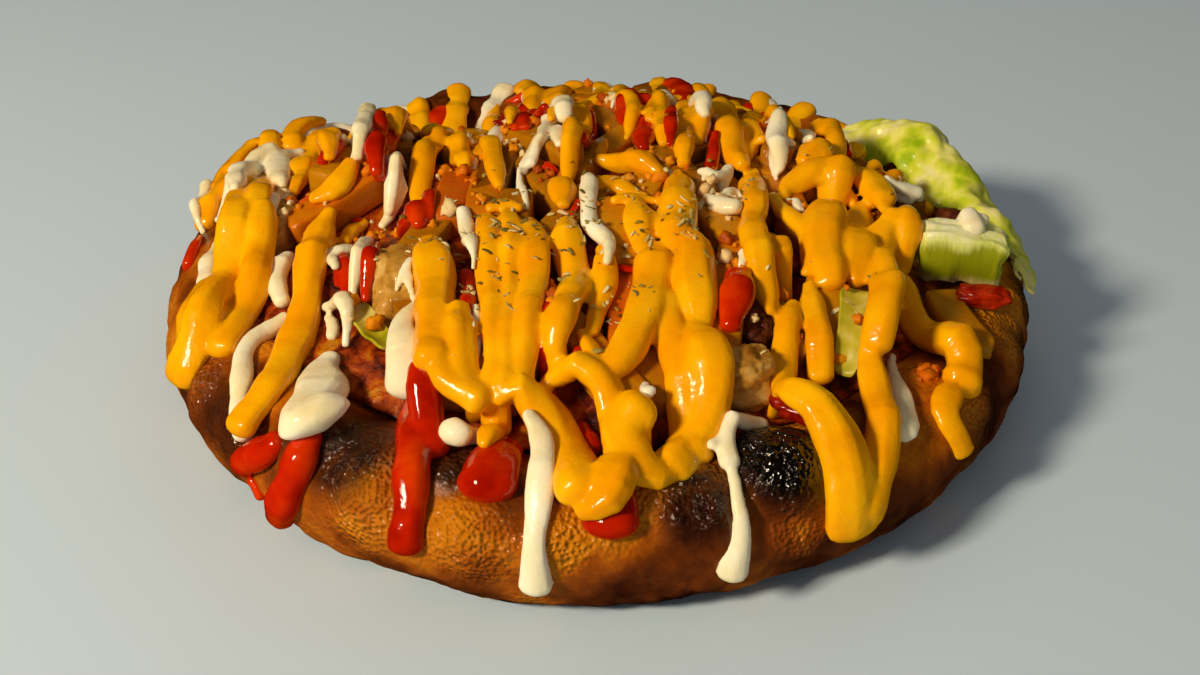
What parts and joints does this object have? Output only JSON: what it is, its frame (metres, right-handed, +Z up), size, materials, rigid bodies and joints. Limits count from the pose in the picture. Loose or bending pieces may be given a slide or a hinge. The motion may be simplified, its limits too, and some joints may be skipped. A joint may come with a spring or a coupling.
{
  "type": "burger pizza",
  "caption": "Thick round pizza with a puffed browned rim, heaped with chips, burger and chicken pieces and salad under squeezed cheese sauce, mayonnaise and ketchup.",
  "frame": {"origin": "on the flat underside, under the middle of the whole object's box", "axes": "+Z up; -Y towards the side that the picture shows nearest; +X to the right in the picture"},
  "size_m": [0.2504, 0.2502, 0.0637],
  "materials": {
    "baked_dough": "browned baked dough, oiled",
    "cheese_sauce": "glossy squeezed cheese sauce",
    "mayonnaise": "satin mayonnaise",
    "ketchup": "glossy ketchup",
    "chips": "fried potato",
    "herbs": "dried herb flakes",
    "browned_beef": "grilled minced beef",
    "fried_chicken": "fried chicken, crumbed",
    "tomato": "wet tomato",
    "lettuce": "crisp lettuce"
  },
  "bodies": {
    "root": {"crust": "baked_dough", "filling": "cheese_sauce", "patty_1": "browned_beef", "patty_2": "browned_beef", "patty_3": "browned_beef", "patty_4": "browned_beef", "chicken_1": "fried_chicken", "chicken_2": "fried_chicken", "chicken_3": "fried_chicken", "chicken_4": "fried_chicken", "tomato_1": "tomato", "tomato_2": "tomato", "tomato_3": "tomato", "lettuce_leaf": "lettuce", "lettuce_rib": "lettuce", "lettuce_shred_1": "lettuce", "lettuce_shred_2": "lettuce", "lettuce_shred_3": "lettuce"}
  },
  "joints": []
}
